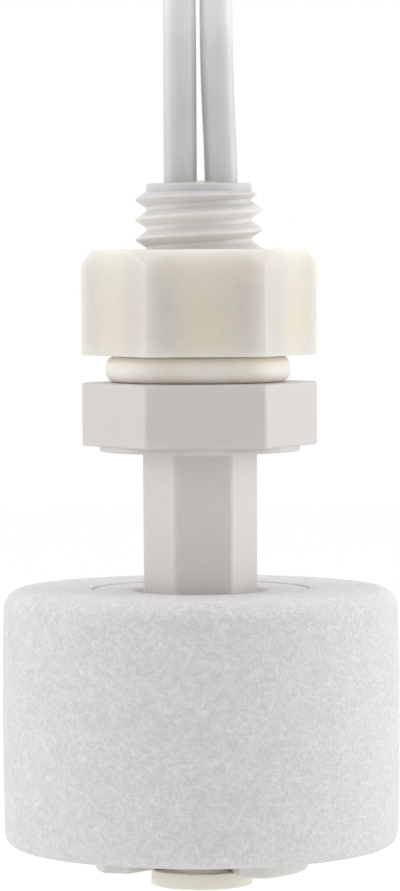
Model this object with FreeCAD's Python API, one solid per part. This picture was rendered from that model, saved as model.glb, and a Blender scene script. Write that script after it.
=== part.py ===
import FreeCAD, Part
import math
import os

# Vertical float level switch. Millimetres, +Z up. The origin is on the stem's axis, on the
# flange's upper (sealing) face: the tank wall lies on z = 0 and the threaded shank goes up
# through it. The float rides on the hexagonal stem below, between the flange and the clip.

# --- Clearances ---------------------------------------------------------------------------
rest_gap = 0.02        # between two faces that rest on each other across a joint
groove_play = 0.02     # clip in its groove, each side
nut_play = 0.06        # nut's bore over the thread's crest, radial
seal_play = 0.14       # sealing ring's hole over the thread's crest, radial
float_play = 0.32      # float's bore over the stem's corners, radial
bore_play = 0.10       # stem's inner bores round what they hold, radial
magnet_play = 0.03     # magnet in its pocket, radial
sleeve_play = 0.02     # insulating sleeve over the reed's lead, radial
hank_gap = 0.30        # between the two leads' hanks
past = 1.0             # how far a cutting solid runs past the face that it opens
round_share = 0.43     # most of a side that one rounding may take

# --- Spanner size, shared by the nut and the flange -----------------------------------------
spanner_af = 13.05
flange_relief = 0.05   # the flange is moulded this much under the nut's size

# --- Threaded shank -----------------------------------------------------------------------
thread_r = 4.0         # crest of the M8 thread
thread_pitch = 1.25
shank_h = 12.55        # sealing face to the shank's upper end
collar_r = 3.33        # plain collar above the thread's last turn
collar_h = 0.5
collar_bevel = 0.15
run_in_h = 0.33         # height over which the thread runs out under the collar

# --- Flange -------------------------------------------------------------------------------
flange_h = 4.0
flange_round = 0.2
boss_r = 6.35          # low round boss under the flange
boss_h = 0.36
gate_r = 0.3           # stub that the moulding gate left under the flange
gate_h = 0.1           # below the boss
gate_x = 0.4
gate_y = -5.9

# --- Hexagonal stem -----------------------------------------------------------------------
stem_af_top = 6.38
stem_af_foot = 6.25    # the mould's draft narrows it downwards
stem_round = 0.3
groove_r = 2.5         # neck that the retaining clip grips
foot_r = 3.22          # round foot below the clip
foot_h = 1.0

# --- Nut and sealing ring -----------------------------------------------------------------
nut_h = 6.67
nut_top_r = 6.72       # circle that the chamfer leaves on the nut's upper face
nut_chamfer_h = 0.89   # chamfer's height at the corners
nut_mouth = 0.45       # lead-in chamfer at both ends of the bore
seal_h = 1.7           # squeezed height of the sealing ring
seal_w = 1.72          # radial width of its section
seal_round = 0.73
seal_shift = 0.1       # the ring lies this far off the axis, towards -X

# --- Float --------------------------------------------------------------------------------
float_drop = 9.08      # flange's underside to the float's upper face, float down
float_h = 16.3
float_r = 12.5         # at its upper and lower ends
float_belly = 0.08     # how far the side bulges at mid height
float_round = 1.25     # upper edge
float_foot_round = 0.9
recess_r = 6.88
recess_d = 0.1         # the cap lies this far below the rim
cap_t = 1.0            # ring that closes the magnet's pocket
magnet_h = 5.0
magnet_wall = 0.2      # magnet's hole stands back from the float's bore

# --- Retaining clip -----------------------------------------------------------------------
clip_r = 6.75
clip_t = 1.5
clip_tip = 4.2         # axis to the flat ends of the two arms
clip_mouth = 7.2       # opening between the arms' ends
clip_throat = 4.4      # opening where the arms close on the neck
clip_turn = 18.6       # degrees from -Y towards -X

# --- Reed switch --------------------------------------------------------------------------
glass_r = 0.95
glass_len = 12.0
glass_wall = 0.3
glass_seal = 2.0       # solid glass round the lead at each end
glass_round = 0.4
reed_lead_r = 0.22
reed_stub = 1.0        # round lead inside the capsule before it is rolled flat
blade_t = 0.18
blade_w = 0.9
blade_lap = 1.0
contact_gap = 0.05
bend_drop = 0.8        # capsule's lower end to where the lead starts to turn back
sleeve_wall = 0.14

# --- Leads --------------------------------------------------------------------------------
wire_r = 1.05
core_r = 0.38          # stranded conductor
left_exit_x = -1.17
right_exit_x = 1.46
wire_seat_z = 6.5      # where the insulation starts, inside the potting
solder_z = 3.0
solder_h = 2.2
solder_skin = 0.12
solder_round = 0.4
solder_lap = 0.2       # solder past the ends of what it joins
solder_film = 0.02     # between a conductor and the reed lead beside it
bore_step_z = 0.6      # floor of the wide bore
potting_floor_z = 1.2
potting_dip = 0.1      # resin below the shank's end at the rim
potting_shoulder = 0.22  # its rise half way in
potting_dome = 0.3     # and in the middle
tinned_len = 6.0       # stripped and tinned end of each lead

# --- The leads' stored length: a flat oval hank behind the switch ---------------------------
hank_y = 22.4          # the pass that comes down from the arch
hank_pitch = 2.15      # between neighbouring passes
hank_fold_r = 10.6     # outermost fold, on the wire's centre line
hank_turns = 3
hank_half = 8.0        # half the straight length of a pass
hank_mid_z = -10.8     # the hank hangs beside the stem, under the nut's upper face
hank_turn = 3.35       # degrees: the leads run back this far from +Y towards +X
tie_t = 0.5
tie_h = 3.0

# --- Derived places -----------------------------------------------------------------------
flange_af = spanner_af - flange_relief
flange_foot_z = -flange_h
float_top_z = flange_foot_z - float_drop
float_foot_z = float_top_z - float_h
clip_top_z = float_foot_z - rest_gap
groove_top_z = clip_top_z + groove_play
groove_foot_z = clip_top_z - clip_t - groove_play
stem_foot_z = groove_foot_z - foot_h
nut_foot_z = seal_h + rest_gap
nut_top_z = nut_foot_z + nut_h
boss_stop = max(boss_h + gate_h - recess_d, 0.0)  # the boss meets the cap before the rim lands
float_travel = float_drop - boss_stop - rest_gap
nut_travel = shank_h - collar_h - thread_pitch - nut_foot_z

stem_corner_r = stem_af_top / math.sqrt(3)
float_bore_r = stem_corner_r + float_play
magnet_mid_z = float_top_z - recess_d - cap_t - magnet_h / 2
reed_mid_z = magnet_mid_z + float_travel
reed_x = left_exit_x + core_r + solder_film + reed_lead_r
return_x = right_exit_x - core_r - solder_film - reed_lead_r
sleeve_r = reed_lead_r + sleeve_play + sleeve_wall
glass_top_z = reed_mid_z + glass_len / 2
glass_foot_z = reed_mid_z - glass_len / 2
lead_top_z = solder_z + solder_h - solder_lap
bend_r = (return_x - reed_x) / 2
bend_z = glass_foot_z - bend_drop
wide_bore_r = max(-left_exit_x, right_exit_x) + wire_r + bore_play
reed_bore_r = max(glass_r - reed_x, return_x + sleeve_r) + bore_play
reed_bore_floor_z = bend_z - bend_r - reed_lead_r - bore_play
potting_rim_z = shank_h - potting_dip

hank_x = wire_r + hank_gap / 2
hank_mid_y = hank_y + hank_fold_r
hank_top_r = hank_fold_r - hank_pitch / 2
hank_top_y = hank_mid_y + hank_pitch / 2
hank_far_y = hank_mid_y + hank_fold_r
inner_fold_r = hank_fold_r - (hank_turns - 1) * hank_pitch
tail_y = hank_mid_y + inner_fold_r
hank_low_z = hank_mid_z - hank_half
hank_high_z = hank_mid_z + hank_half


def placed(across, back, z):
    """A point of the leads' rear part: across their common plane, back along it, and its height."""
    t = math.radians(hank_turn)
    return (across * math.cos(t) + back * math.sin(t), back * math.cos(t) - across * math.sin(t), z)



# Routes of the two leads, as the corners that tangent arcs round off. The first run is held
# by the potting. The arch turns back over the switch's rear, and each lead comes down behind
# its own rising stretch to its hank.
LEFT_ROUTE = [
    (left_exit_x, 0.0, wire_seat_z),
    (left_exit_x, 0.0, 12.9),
    (-1.18, -0.12, 19.4),
    placed(-hank_x, 0.0, 25.6),
    placed(-hank_x, 3.0, 30.8),
    placed(-hank_x, 8.2, 33.8),
    placed(-hank_x, 14.2, 33.9),
    placed(-1.24, 19.4, 31.0),
    placed(-1.27, hank_y, 25.8),
    placed(-1.27, hank_y + 0.06, 20.1),
    placed(-1.26, hank_y, 14.3),
    placed(-1.24, hank_y, 8.6),
    placed(-hank_x, hank_y, 2.9),
    placed(-hank_x, hank_y, hank_high_z),
]
RIGHT_ROUTE = [
    (right_exit_x, 0.0, wire_seat_z),
    (right_exit_x, 0.0, 12.9),
    (1.16, -0.08, 19.0),
    placed(1.12, 0.0, 25.2),
    placed(1.18, 3.1, 30.5),
    placed(hank_x, 8.3, 33.3),
    placed(hank_x, 14.2, 33.3),
    placed(hank_x, 19.4, 30.6),
    placed(1.21, hank_y, 25.5),
    placed(1.25, hank_y + 0.06, 20.0),
    placed(1.58, hank_y, 13.4),
    placed(1.5, hank_y, 8.1),
    placed(hank_x, hank_y, 2.7),
    placed(hank_x, hank_y, hank_high_z),
]
# Each lead's free end, from the innermost fold up into the middle of the hank (back, height).
TAIL_ROUTE = [
    (tail_y, hank_low_z),
    (tail_y, hank_low_z + 3.8),
    (tail_y - 0.7, hank_low_z + 7.8),
    (tail_y - 1.9, hank_low_z + 11.6),
]


def vec(x, y, z):
    """A point or direction."""
    return FreeCAD.Vector(x, y, z)


def cylinder(radius, z_from, z_to, x=0.0, y=0.0):
    """An upright cylinder between two heights."""
    return Part.makeCylinder(radius, z_to - z_from, vec(x, y, z_from))


def hexagon(across_flats, z):
    """A hexagonal outline at height z, with two flats facing +Y and -Y."""
    corner = across_flats / math.sqrt(3)
    turns = [math.radians(60 * k) for k in range(7)]
    return Part.makePolygon([vec(corner * math.cos(t), corner * math.sin(t), z) for t in turns])


def hex_prism(across_flats, z_from, z_to):
    """An upright hexagonal prism between two heights."""
    return Part.Face(hexagon(across_flats, z_from)).extrude(vec(0, 0, z_to - z_from))


def turned(outline, x=0.0):
    """The solid that a closed outline of (radius, height) points sweeps round the axis."""
    wire = Part.makePolygon([vec(r, 0, z) for r, z in outline + outline[:1]])
    solid = Part.Face(wire).revolve(vec(0, 0, 0), vec(0, 0, 1), 360)
    return solid.translated(vec(x, 0, 0))


def level_edges(shape, z):
    """The edges of a shape that lie flat at height z."""
    return [e for e in shape.Edges if all(abs(v.Z - z) < 1e-6 for v in e.Vertexes)]


def upright_edges(shape):
    """The straight edges of a shape that climb from one height to another."""
    edges = [e for e in shape.Edges if len(e.Vertexes) == 2]
    return [e for e in edges if abs(e.Vertexes[0].Z - e.Vertexes[1].Z) > 1e-6]


def rounded_path(points, label):
    """Straight runs joined by tangent arcs through a list of corners. Prints the arcs' radii."""
    corners = [vec(*p) for p in points]
    edges = []
    radii = []
    start = corners[0]
    for before, corner, after in zip(corners, corners[1:], corners[2:]):
        back = (before - corner).normalize()
        ahead = (after - corner).normalize()
        shorter = min((before - corner).Length, (after - corner).Length)
        half_turn = (math.pi - back.getAngle(ahead)) / 2
        reach = 0.45 * shorter
        radius = reach / math.tan(half_turn)
        inward = (back + ahead).normalize()
        middle = corner + inward * (radius / math.cos(half_turn) - radius)
        enter = corner + back * reach
        leave = corner + ahead * reach
        edges.append(Part.LineSegment(start, enter).toShape())
        edges.append(Part.Arc(enter, middle, leave).toShape())
        radii.append(radius)
        start = leave
    edges.append(Part.LineSegment(start, corners[-1]).toShape())
    print(label, "arc radii:", [round(r, 1) for r in radii])
    return Part.Wire(edges)


def tube(points, radius, label):
    """A round solid along a rounded path."""
    path = rounded_path(points, label)
    ahead = vec(*points[1]) - vec(*points[0])
    section = Part.Wire(Part.makeCircle(radius, vec(*points[0]), ahead))
    solid = path.makePipeShell([section], True, False)
    share = solid.Volume / (math.pi * radius ** 2 * path.Length)
    print(label, "length:", round(path.Length, 1), "volume share:", round(share, 4))
    return solid


# --- Body ---------------------------------------------------------------------------------


def stem_hexagon():
    """The tapering hexagonal stem from the flange down to the clip's groove."""
    outlines = [hexagon(stem_af_top, flange_foot_z), hexagon(stem_af_foot, groove_top_z)]
    stem = Part.makeLoft(outlines, True, True)
    return stem.makeFillet(stem_round, upright_edges(stem))


def stem_body():
    """One moulding: threaded shank, flange, hexagonal stem, clip neck and foot, bored for the reed."""
    thread_top_z = shank_h - collar_h
    shank = turned([
        (0, flange_foot_z / 2),
        (thread_r, flange_foot_z / 2),
        (thread_r, thread_top_z - run_in_h),
        (collar_r, thread_top_z),
        (collar_r, shank_h - collar_bevel),
        (collar_r - collar_bevel, shank_h),
        (0, shank_h),
    ])
    flange = hex_prism(flange_af, flange_foot_z, 0)
    flange = flange.makeFillet(flange_round, flange.Edges)
    boss = cylinder(boss_r, flange_foot_z - boss_h, flange_foot_z / 2)
    gate = cylinder(gate_r, flange_foot_z - boss_h - gate_h, flange_foot_z / 2, gate_x, gate_y)
    neck = cylinder(groove_r, groove_foot_z - foot_h / 2, groove_top_z + foot_h)
    foot = cylinder(foot_r, stem_foot_z, groove_foot_z)
    body = shank.multiFuse([flange, boss, gate, stem_hexagon(), neck, foot])
    wide_bore = cylinder(wide_bore_r, bore_step_z, shank_h + past)
    reed_bore = cylinder(reed_bore_r, reed_bore_floor_z, bore_step_z + past)
    return body.cut(wide_bore.fuse(reed_bore)).removeSplitter()


def clamp_nut():
    """The hexagonal nut, chamfered on its upper side only."""
    corner_r = spanner_af / math.sqrt(3)
    prism = hex_prism(spanner_af, nut_foot_z, nut_top_z)
    envelope = turned([
        (0, nut_foot_z),
        (corner_r, nut_foot_z),
        (corner_r, nut_top_z - nut_chamfer_h),
        (nut_top_r, nut_top_z),
        (0, nut_top_z),
    ])
    bore_r = thread_r + nut_play
    bore = turned([
        (0, nut_foot_z),
        (bore_r + nut_mouth, nut_foot_z),
        (bore_r, nut_foot_z + nut_mouth),
        (bore_r, nut_top_z - nut_mouth),
        (bore_r + nut_mouth, nut_top_z),
        (0, nut_top_z),
    ])
    return prism.common(envelope).cut(bore)


def sealing_ring():
    """The silicone ring, squeezed between the nut and the flange."""
    inner_r = thread_r + seal_play
    outer_r = inner_r + seal_w
    ring = turned([(inner_r, 0), (outer_r, 0), (outer_r, seal_h), (inner_r, seal_h)], -seal_shift)
    rims = [e for e in ring.Edges if e.Closed]
    return ring.makeFillet(min(seal_round, round_share * min(seal_w, seal_h)), rims)


# --- Float --------------------------------------------------------------------------------


def float_shell():
    """The foamed float: a slightly barrelled drum with a bore and the magnet's pocket."""
    middle_z = (float_top_z + float_foot_z) / 2
    low = vec(float_r, 0, float_foot_z)
    high = vec(float_r, 0, float_top_z)
    side = Part.Arc(low, vec(float_r + float_belly, 0, middle_z), high).toShape()
    ends = Part.makePolygon([high, vec(0, 0, float_top_z), vec(0, 0, float_foot_z), low])
    face = Part.Face(Part.Wire([side] + ends.Edges))
    drum = face.revolve(vec(0, 0, 0), vec(0, 0, 1), 360)
    drum = drum.makeFillet(float_round, [e for e in level_edges(drum, float_top_z) if e.Closed])
    drum = drum.makeFillet(float_foot_round, [e for e in level_edges(drum, float_foot_z) if e.Closed])
    pocket_floor_z = float_top_z - recess_d - cap_t - magnet_h
    pocket = cylinder(recess_r, pocket_floor_z, float_top_z + past)
    bore = cylinder(float_bore_r, float_foot_z - past, float_top_z)
    return drum.cut(pocket).cut(bore)


def float_magnet():
    """The ring magnet at the bottom of the float's pocket."""
    top_z = float_top_z - recess_d - cap_t
    ring = cylinder(recess_r - magnet_play, top_z - magnet_h, top_z)
    return ring.cut(cylinder(float_bore_r + magnet_wall, top_z - magnet_h, top_z))


def magnet_cap():
    """The ring that shuts the magnet in, sunk below the float's upper face."""
    top_z = float_top_z - recess_d
    return cylinder(recess_r, top_z - cap_t, top_z).cut(cylinder(float_bore_r, top_z - cap_t, top_z))


def retaining_clip():
    """The C-shaped clip, pushed on the stem's neck from the side."""
    foot_z = clip_top_z - clip_t
    disc = cylinder(clip_r, foot_z, clip_top_z)
    hole_r = groove_r + groove_play
    throat_y = math.sqrt(hole_r ** 2 - (clip_throat / 2) ** 2)
    opening = Part.makePolygon([
        vec(-clip_throat / 2, 0, foot_z),
        vec(-clip_throat / 2, -throat_y, foot_z),
        vec(-clip_mouth / 2, -clip_tip, foot_z),
        vec(-clip_r - past, -clip_tip, foot_z),
        vec(-clip_r - past, -clip_r - past, foot_z),
        vec(clip_r + past, -clip_r - past, foot_z),
        vec(clip_r + past, -clip_tip, foot_z),
        vec(clip_mouth / 2, -clip_tip, foot_z),
        vec(clip_throat / 2, -throat_y, foot_z),
        vec(clip_throat / 2, 0, foot_z),
        vec(-clip_throat / 2, 0, foot_z),
    ])
    clip = disc.cut(Part.Face(opening).extrude(vec(0, 0, clip_t)))
    clip = clip.cut(cylinder(hole_r, foot_z, clip_top_z))
    clip.rotate(vec(0, 0, 0), vec(0, 0, 1), -clip_turn)
    return clip


# --- Reed switch, inside the stem -----------------------------------------------------------


def blade(side):
    """A flat blade from its stub of round lead to just past the middle. side is 1 above, -1 below."""
    cavity_end_z = reed_mid_z + side * (glass_len / 2 - glass_seal)
    tip_z = reed_mid_z - side * blade_lap / 2
    x = reed_x + contact_gap / 2 if side > 0 else reed_x - contact_gap / 2 - blade_t
    low_z = min(cavity_end_z, tip_z)
    return Part.makeBox(blade_t, blade_w, abs(cavity_end_z - tip_z), vec(x, -blade_w / 2, low_z))


def reed_blade_upper():
    """The upper blade with its lead, which goes straight up to the left lead's solder joint."""
    stub_z = reed_mid_z + glass_len / 2 - glass_seal - reed_stub
    return cylinder(reed_lead_r, stub_z, lead_top_z, reed_x).fuse(blade(1))


def reed_blade_lower():
    """The lower blade with its lead, which is folded back up beside the capsule."""
    stub_z = reed_mid_z - glass_len / 2 + glass_seal + reed_stub
    turn_mid = vec((reed_x + return_x) / 2, 0, bend_z - bend_r)
    path = Part.Wire([
        Part.LineSegment(vec(reed_x, 0, stub_z), vec(reed_x, 0, bend_z)).toShape(),
        Part.Arc(vec(reed_x, 0, bend_z), turn_mid, vec(return_x, 0, bend_z)).toShape(),
        Part.LineSegment(vec(return_x, 0, bend_z), vec(return_x, 0, lead_top_z)).toShape(),
    ])
    section = Part.Wire(Part.makeCircle(reed_lead_r, vec(reed_x, 0, stub_z), vec(0, 0, -1)))
    return path.makePipeShell([section], True, False).fuse(blade(-1))


def reed_glass():
    """The glass capsule, fused round the leads at both ends."""
    outside = cylinder(glass_r, glass_foot_z, glass_top_z, reed_x)
    outside = outside.makeFillet(glass_round, [e for e in outside.Edges if not e.isSeam(outside.Faces[0])])
    cavity_r = glass_r - glass_wall
    cavity = cylinder(cavity_r, glass_foot_z + glass_seal, glass_top_z - glass_seal, reed_x)
    lead = cylinder(reed_lead_r, glass_foot_z, glass_top_z, reed_x)
    return outside.cut(cavity.fuse(lead))


def lead_sleeve():
    """The insulating sleeve on the folded-back lead."""
    top_z = bore_step_z
    sleeve = cylinder(sleeve_r, bend_z, top_z, return_x)
    return sleeve.cut(cylinder(reed_lead_r + sleeve_play, bend_z, top_z, return_x))


def conductor(exit_x):
    """The bared inner end of a lead's conductor."""
    return cylinder(core_r, solder_z + solder_lap, wire_seat_z, exit_x)


def solder_joint(exit_x, lead_x):
    """The solder that joins a conductor to the reed lead beside it."""
    side = 1 if lead_x > exit_x else -1
    middle_x = (exit_x - side * core_r + lead_x + side * reed_lead_r) / 2
    radius = core_r + solder_film / 2 + reed_lead_r + solder_skin
    bead = cylinder(radius, solder_z, solder_z + solder_h, middle_x)
    rims = level_edges(bead, solder_z) + level_edges(bead, solder_z + solder_h)
    bead = bead.makeFillet(min(solder_round, round_share * solder_h), rims)
    lead = cylinder(reed_lead_r, potting_floor_z, lead_top_z, lead_x)
    return bead.cut([conductor(exit_x), lead])


def potting():
    """The resin that fills the shank round the wires and joints, with a low dome on top."""
    dome_z = potting_rim_z + potting_dome
    middle_r = wide_bore_r / 2
    shoulder_z = potting_rim_z + potting_shoulder
    fill = turned([
        (0, potting_floor_z),
        (wide_bore_r, potting_floor_z),
        (wide_bore_r, potting_rim_z),
        (middle_r, shoulder_z),
        (0, dome_z),
    ])
    held = [
        tube(LEFT_ROUTE[:3], wire_r, "left lead in the potting"),
        tube(RIGHT_ROUTE[:3], wire_r, "right lead in the potting"),
        conductor(left_exit_x),
        conductor(right_exit_x),
        cylinder(reed_lead_r, potting_floor_z, lead_top_z, reed_x),
        cylinder(reed_lead_r, potting_floor_z, lead_top_z, return_x),
        solder_joint(left_exit_x, reed_x),
        solder_joint(right_exit_x, return_x),
    ]
    return fill.cut(held)


# --- Leads --------------------------------------------------------------------------------


def outline(points_and_arcs, x):
    """A closed face in the plane at x. Items are (y, z) corners or ('arc', y, z) mid-points."""
    edges = []
    through = None
    at = None
    for item in points_and_arcs:
        if item[0] == "arc":
            through = vec(x, item[1], item[2])
            continue
        corner = vec(x, item[0], item[1])
        if at and through:
            edges.append(Part.Arc(at, through, corner).toShape())
        elif at:
            edges.append(Part.LineSegment(at, corner).toShape())
        at = corner
        through = None
    return Part.Face(Part.Wire(edges))


def swung(shape):
    """A shape built over the plane x = 0, swung about the stem's axis into the leads' plane."""
    shape.rotate(vec(0, 0, 0), vec(0, 0, 1), -hank_turn)
    return shape


def lead_hank(side):
    """The outer shape of one lead's flat oval hank. side is -1 for the left lead, 1 for the right."""
    x = side * hank_x - wire_r
    near = hank_y - wire_r
    step = hank_y + hank_pitch - wire_r
    far = hank_far_y + wire_r
    outside = outline([
        (near, hank_low_z),
        ("arc", hank_mid_y, hank_low_z - hank_fold_r - wire_r),
        (far, hank_low_z),
        (far, hank_high_z),
        ("arc", hank_top_y, hank_high_z + (far - step) / 2),
        (step, hank_high_z),
        (near, hank_high_z),
        (near, hank_low_z),
    ], x)
    hole_near = hank_mid_y - inner_fold_r + wire_r
    hole_far = hank_mid_y + inner_fold_r - wire_r
    tail_far = hole_far + hank_pitch
    inside = outline([
        (hole_near, hank_low_z),
        ("arc", hank_mid_y, hank_low_z - inner_fold_r + wire_r),
        (hole_far, hank_low_z),
        (tail_far, hank_low_z),
        (tail_far, hank_high_z),
        ("arc", (hole_near + tail_far) / 2, hank_high_z + (tail_far - hole_near) / 2),
        (hole_near, hank_high_z),
        (hole_near, hank_low_z),
    ], x)
    return swung(outside.cut(inside).extrude(vec(2 * wire_r, 0, 0)))


def lead_tail(side):
    """The free end of a lead, inside its hank, up to where the insulation is stripped."""
    points = [placed(side * hank_x, back, z) for back, z in TAIL_ROUTE]
    return tube(points, wire_r, "tail")


def tinned_end(side):
    """The stripped and tinned end of a lead."""
    last = vec(*placed(side * hank_x, *TAIL_ROUTE[-1]))
    ahead = last - vec(*placed(side * hank_x, *TAIL_ROUTE[-2]))
    return Part.makeCylinder(core_r, tinned_len, last, ahead)


def hank_tie():
    """The band round both hanks."""
    half_x = hank_x + wire_r
    near = hank_y - wire_r
    depth = hank_far_y + wire_r - near
    foot_z = hank_mid_z - tie_h / 2
    outer = Part.makeBox(2 * (half_x + tie_t), depth + 2 * tie_t, tie_h,
                         vec(-half_x - tie_t, near - tie_t, foot_z))
    outer = outer.makeFillet(tie_t, upright_edges(outer))
    return swung(outer.cut(Part.makeBox(2 * half_x, depth, tie_h, vec(-half_x, near, foot_z))))


def build():
    """Every piece by its node name."""
    return {
        "stem_body": stem_body(),
        "clamp_nut": clamp_nut(),
        "sealing_ring": sealing_ring(),
        "float": float_shell(),
        "float_magnet": float_magnet(),
        "magnet_cap": magnet_cap(),
        "retaining_clip": retaining_clip(),
        "reed_glass": reed_glass(),
        "reed_blade_upper": reed_blade_upper(),
        "reed_blade_lower": reed_blade_lower(),
        "lead_sleeve": lead_sleeve(),
        "conductor_left": conductor(left_exit_x),
        "conductor_right": conductor(right_exit_x),
        "solder_joint_left": solder_joint(left_exit_x, reed_x),
        "solder_joint_right": solder_joint(right_exit_x, return_x),
        "potting": potting(),
        "wire_left": tube(LEFT_ROUTE, wire_r, "left lead"),
        "wire_right": tube(RIGHT_ROUTE, wire_r, "right lead"),
        "wire_left_hank": lead_hank(-1),
        "wire_right_hank": lead_hank(1),
        "wire_left_tail": lead_tail(-1),
        "wire_right_tail": lead_tail(1),
        "tinned_end_left": tinned_end(-1),
        "tinned_end_right": tinned_end(1),
        "hank_tie": hank_tie(),
    }


os.makedirs("parts", exist_ok=True)
for name, shape in build().items():
    shape.exportStep(f"parts/{name}.step")
    print(f"{name}: {len(shape.Solids)} solid, {shape.Volume:.2f} mm3, valid {shape.isValid()}")
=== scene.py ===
import logging
import math
from collections.abc import Callable, Sequence
from dataclasses import dataclass
from enum import Enum
from itertools import pairwise
from typing import Any

import bmesh
import bpy
from mathutils import Matrix, Vector


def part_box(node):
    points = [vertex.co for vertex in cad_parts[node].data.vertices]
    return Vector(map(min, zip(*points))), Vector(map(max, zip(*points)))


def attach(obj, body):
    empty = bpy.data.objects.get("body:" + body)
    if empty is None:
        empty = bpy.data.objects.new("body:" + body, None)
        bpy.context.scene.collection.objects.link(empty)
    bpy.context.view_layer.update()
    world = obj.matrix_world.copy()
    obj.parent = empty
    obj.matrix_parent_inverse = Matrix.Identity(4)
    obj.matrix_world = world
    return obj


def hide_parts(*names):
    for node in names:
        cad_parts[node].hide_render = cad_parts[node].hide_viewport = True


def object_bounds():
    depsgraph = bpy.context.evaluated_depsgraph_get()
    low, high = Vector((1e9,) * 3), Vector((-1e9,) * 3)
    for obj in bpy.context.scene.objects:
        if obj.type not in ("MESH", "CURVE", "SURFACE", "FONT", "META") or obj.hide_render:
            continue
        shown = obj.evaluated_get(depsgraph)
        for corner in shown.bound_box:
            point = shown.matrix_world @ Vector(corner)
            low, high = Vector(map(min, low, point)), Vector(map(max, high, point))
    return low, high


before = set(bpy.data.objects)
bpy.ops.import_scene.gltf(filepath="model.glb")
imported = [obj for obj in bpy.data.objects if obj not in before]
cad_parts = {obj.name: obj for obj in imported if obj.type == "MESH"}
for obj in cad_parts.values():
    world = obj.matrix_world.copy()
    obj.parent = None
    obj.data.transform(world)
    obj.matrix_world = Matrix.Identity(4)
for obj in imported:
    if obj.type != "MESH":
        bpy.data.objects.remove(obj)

CAD_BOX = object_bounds()
LOG = logging.getLogger("float_switch")
MM = 0.001
CLOSE = 1e-7  # heights and cuts no further apart than this, in metres, count as one
SAME_WAY = 1e-12  # cross product, in square metres, below which two corners lie in one direction

Point = tuple[float, float, float]
Pair = tuple[float, float]
Colour = tuple[float, float, float]


# --- Modelling by operators -----------------------------------------------------------------


class Element(Enum):
    """What is picked in edit mode."""

    VERTEX = "VERT"
    EDGE = "EDGE"
    FACE = "FACE"


def deselect() -> None:
    """Leaves edit mode and deselects every object."""
    if bpy.context.object and bpy.context.object.mode != "OBJECT":
        bpy.ops.object.mode_set(mode="OBJECT")
    bpy.ops.object.select_all(action="DESELECT")


def hold(piece: bpy.types.Object) -> None:
    """Makes a piece the only selected one, and the active one.

    Args:
        piece: The piece.
    """
    deselect()
    piece.select_set(True)
    bpy.context.view_layer.objects.active = piece


def settle(piece: bpy.types.Object) -> None:
    """Puts a piece's place, turn and scale in its mesh."""
    hold(piece)
    bpy.ops.object.transform_apply(location=True, rotation=True, scale=True)


def claim(name: str) -> bpy.types.Object:
    """Names the primitive just added, and puts its place in its mesh.

    Args:
        name: The piece's name.

    Returns:
        The piece.
    """
    piece = bpy.context.object
    piece.name = name
    piece.data.name = name
    settle(piece)
    return piece


class Editing:
    """Edit mode on one piece, as a with-block that starts with nothing selected."""

    def __init__(self, piece: bpy.types.Object) -> None:
        """Keeps the piece to edit."""
        self.piece = piece

    def __enter__(self) -> "Editing":
        """Enters edit mode.

        Returns:
            This editing session.
        """
        hold(self.piece)
        bpy.ops.object.mode_set(mode="EDIT")
        bpy.ops.mesh.select_mode(type=Element.VERTEX.value)
        bpy.ops.mesh.select_all(action="DESELECT")
        return self

    def __exit__(self, *_: object) -> None:
        """Goes back to object mode."""
        bpy.ops.object.mode_set(mode="OBJECT")

    def pick_all(self) -> None:
        """Selects the whole mesh."""
        bpy.ops.mesh.select_all(action="SELECT")

    def pick(self, kind: Element, test: Callable[[Any], bool]) -> None:
        """Selects only the elements that pass a test.

        Args:
            kind: Which elements are tried.
            test: Takes an element and says whether it is picked.
        """
        bpy.ops.mesh.select_mode(type=kind.value)
        bpy.ops.mesh.select_all(action="DESELECT")
        mesh = bmesh.from_edit_mesh(self.piece.data)
        elements = {Element.VERTEX: mesh.verts, Element.EDGE: mesh.edges, Element.FACE: mesh.faces}
        for element in elements[kind]:
            if test(element):
                element.select_set(True)
        mesh.select_flush_mode()
        bmesh.update_edit_mesh(self.piece.data)

    def extrude(self, way: Sequence[float]) -> None:
        """Extrudes what is selected by an offset."""
        bpy.ops.mesh.extrude_region_move(TRANSFORM_OT_translate={"value": way})

    def spread(self, share: float) -> None:
        """Moves what is selected away from the axis, to a share of its distance."""
        bpy.ops.transform.resize(value=(share, share, 1), center_override=(0, 0, 0))

    def outward(self) -> None:
        """Points every face outwards."""
        self.pick_all()
        bpy.ops.mesh.normals_make_consistent(inside=False)
        bpy.ops.mesh.select_all(action="DESELECT")


def shift(piece: bpy.types.Object, way: Sequence[float]) -> None:
    """Moves a piece's whole mesh.

    Args:
        piece: The piece.
        way: The offset, in metres.
    """
    with Editing(piece) as edit:
        edit.pick_all()
        bpy.ops.transform.translate(value=way)


def modify(piece: bpy.types.Object, kind: str, **settings: Any) -> None:
    """Adds a modifier to a piece and applies it.

    Args:
        piece: The piece.
        kind: The modifier's type.
        settings: Its settings.
    """
    hold(piece)
    modifier = piece.modifiers.new(kind.lower(), kind)
    for key, value in settings.items():
        setattr(modifier, key, value)
    bpy.ops.object.modifier_apply(modifier=modifier.name)


def combine(piece: bpy.types.Object, other: bpy.types.Object, operation: str) -> None:
    """Joins, cuts or intersects a piece with another, which is used up.

    Args:
        piece: The piece that stays.
        other: The solid that is used up.
        operation: UNION, DIFFERENCE or INTERSECT.
    """
    modify(piece, "BOOLEAN", object=other, operation=operation, solver="EXACT")
    bpy.data.objects.remove(other, do_unlink=True)


def smooth(piece: bpy.types.Object, degrees: float = 32.0) -> None:
    """Shades a piece smooth, apart from its sharp edges.

    Args:
        piece: The piece.
        degrees: The angle past which an edge stays sharp.
    """
    hold(piece)
    bpy.ops.object.shade_smooth_by_angle(angle=math.radians(degrees))
    modify(piece, "WEIGHTED_NORMAL", keep_sharp=True)


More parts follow.
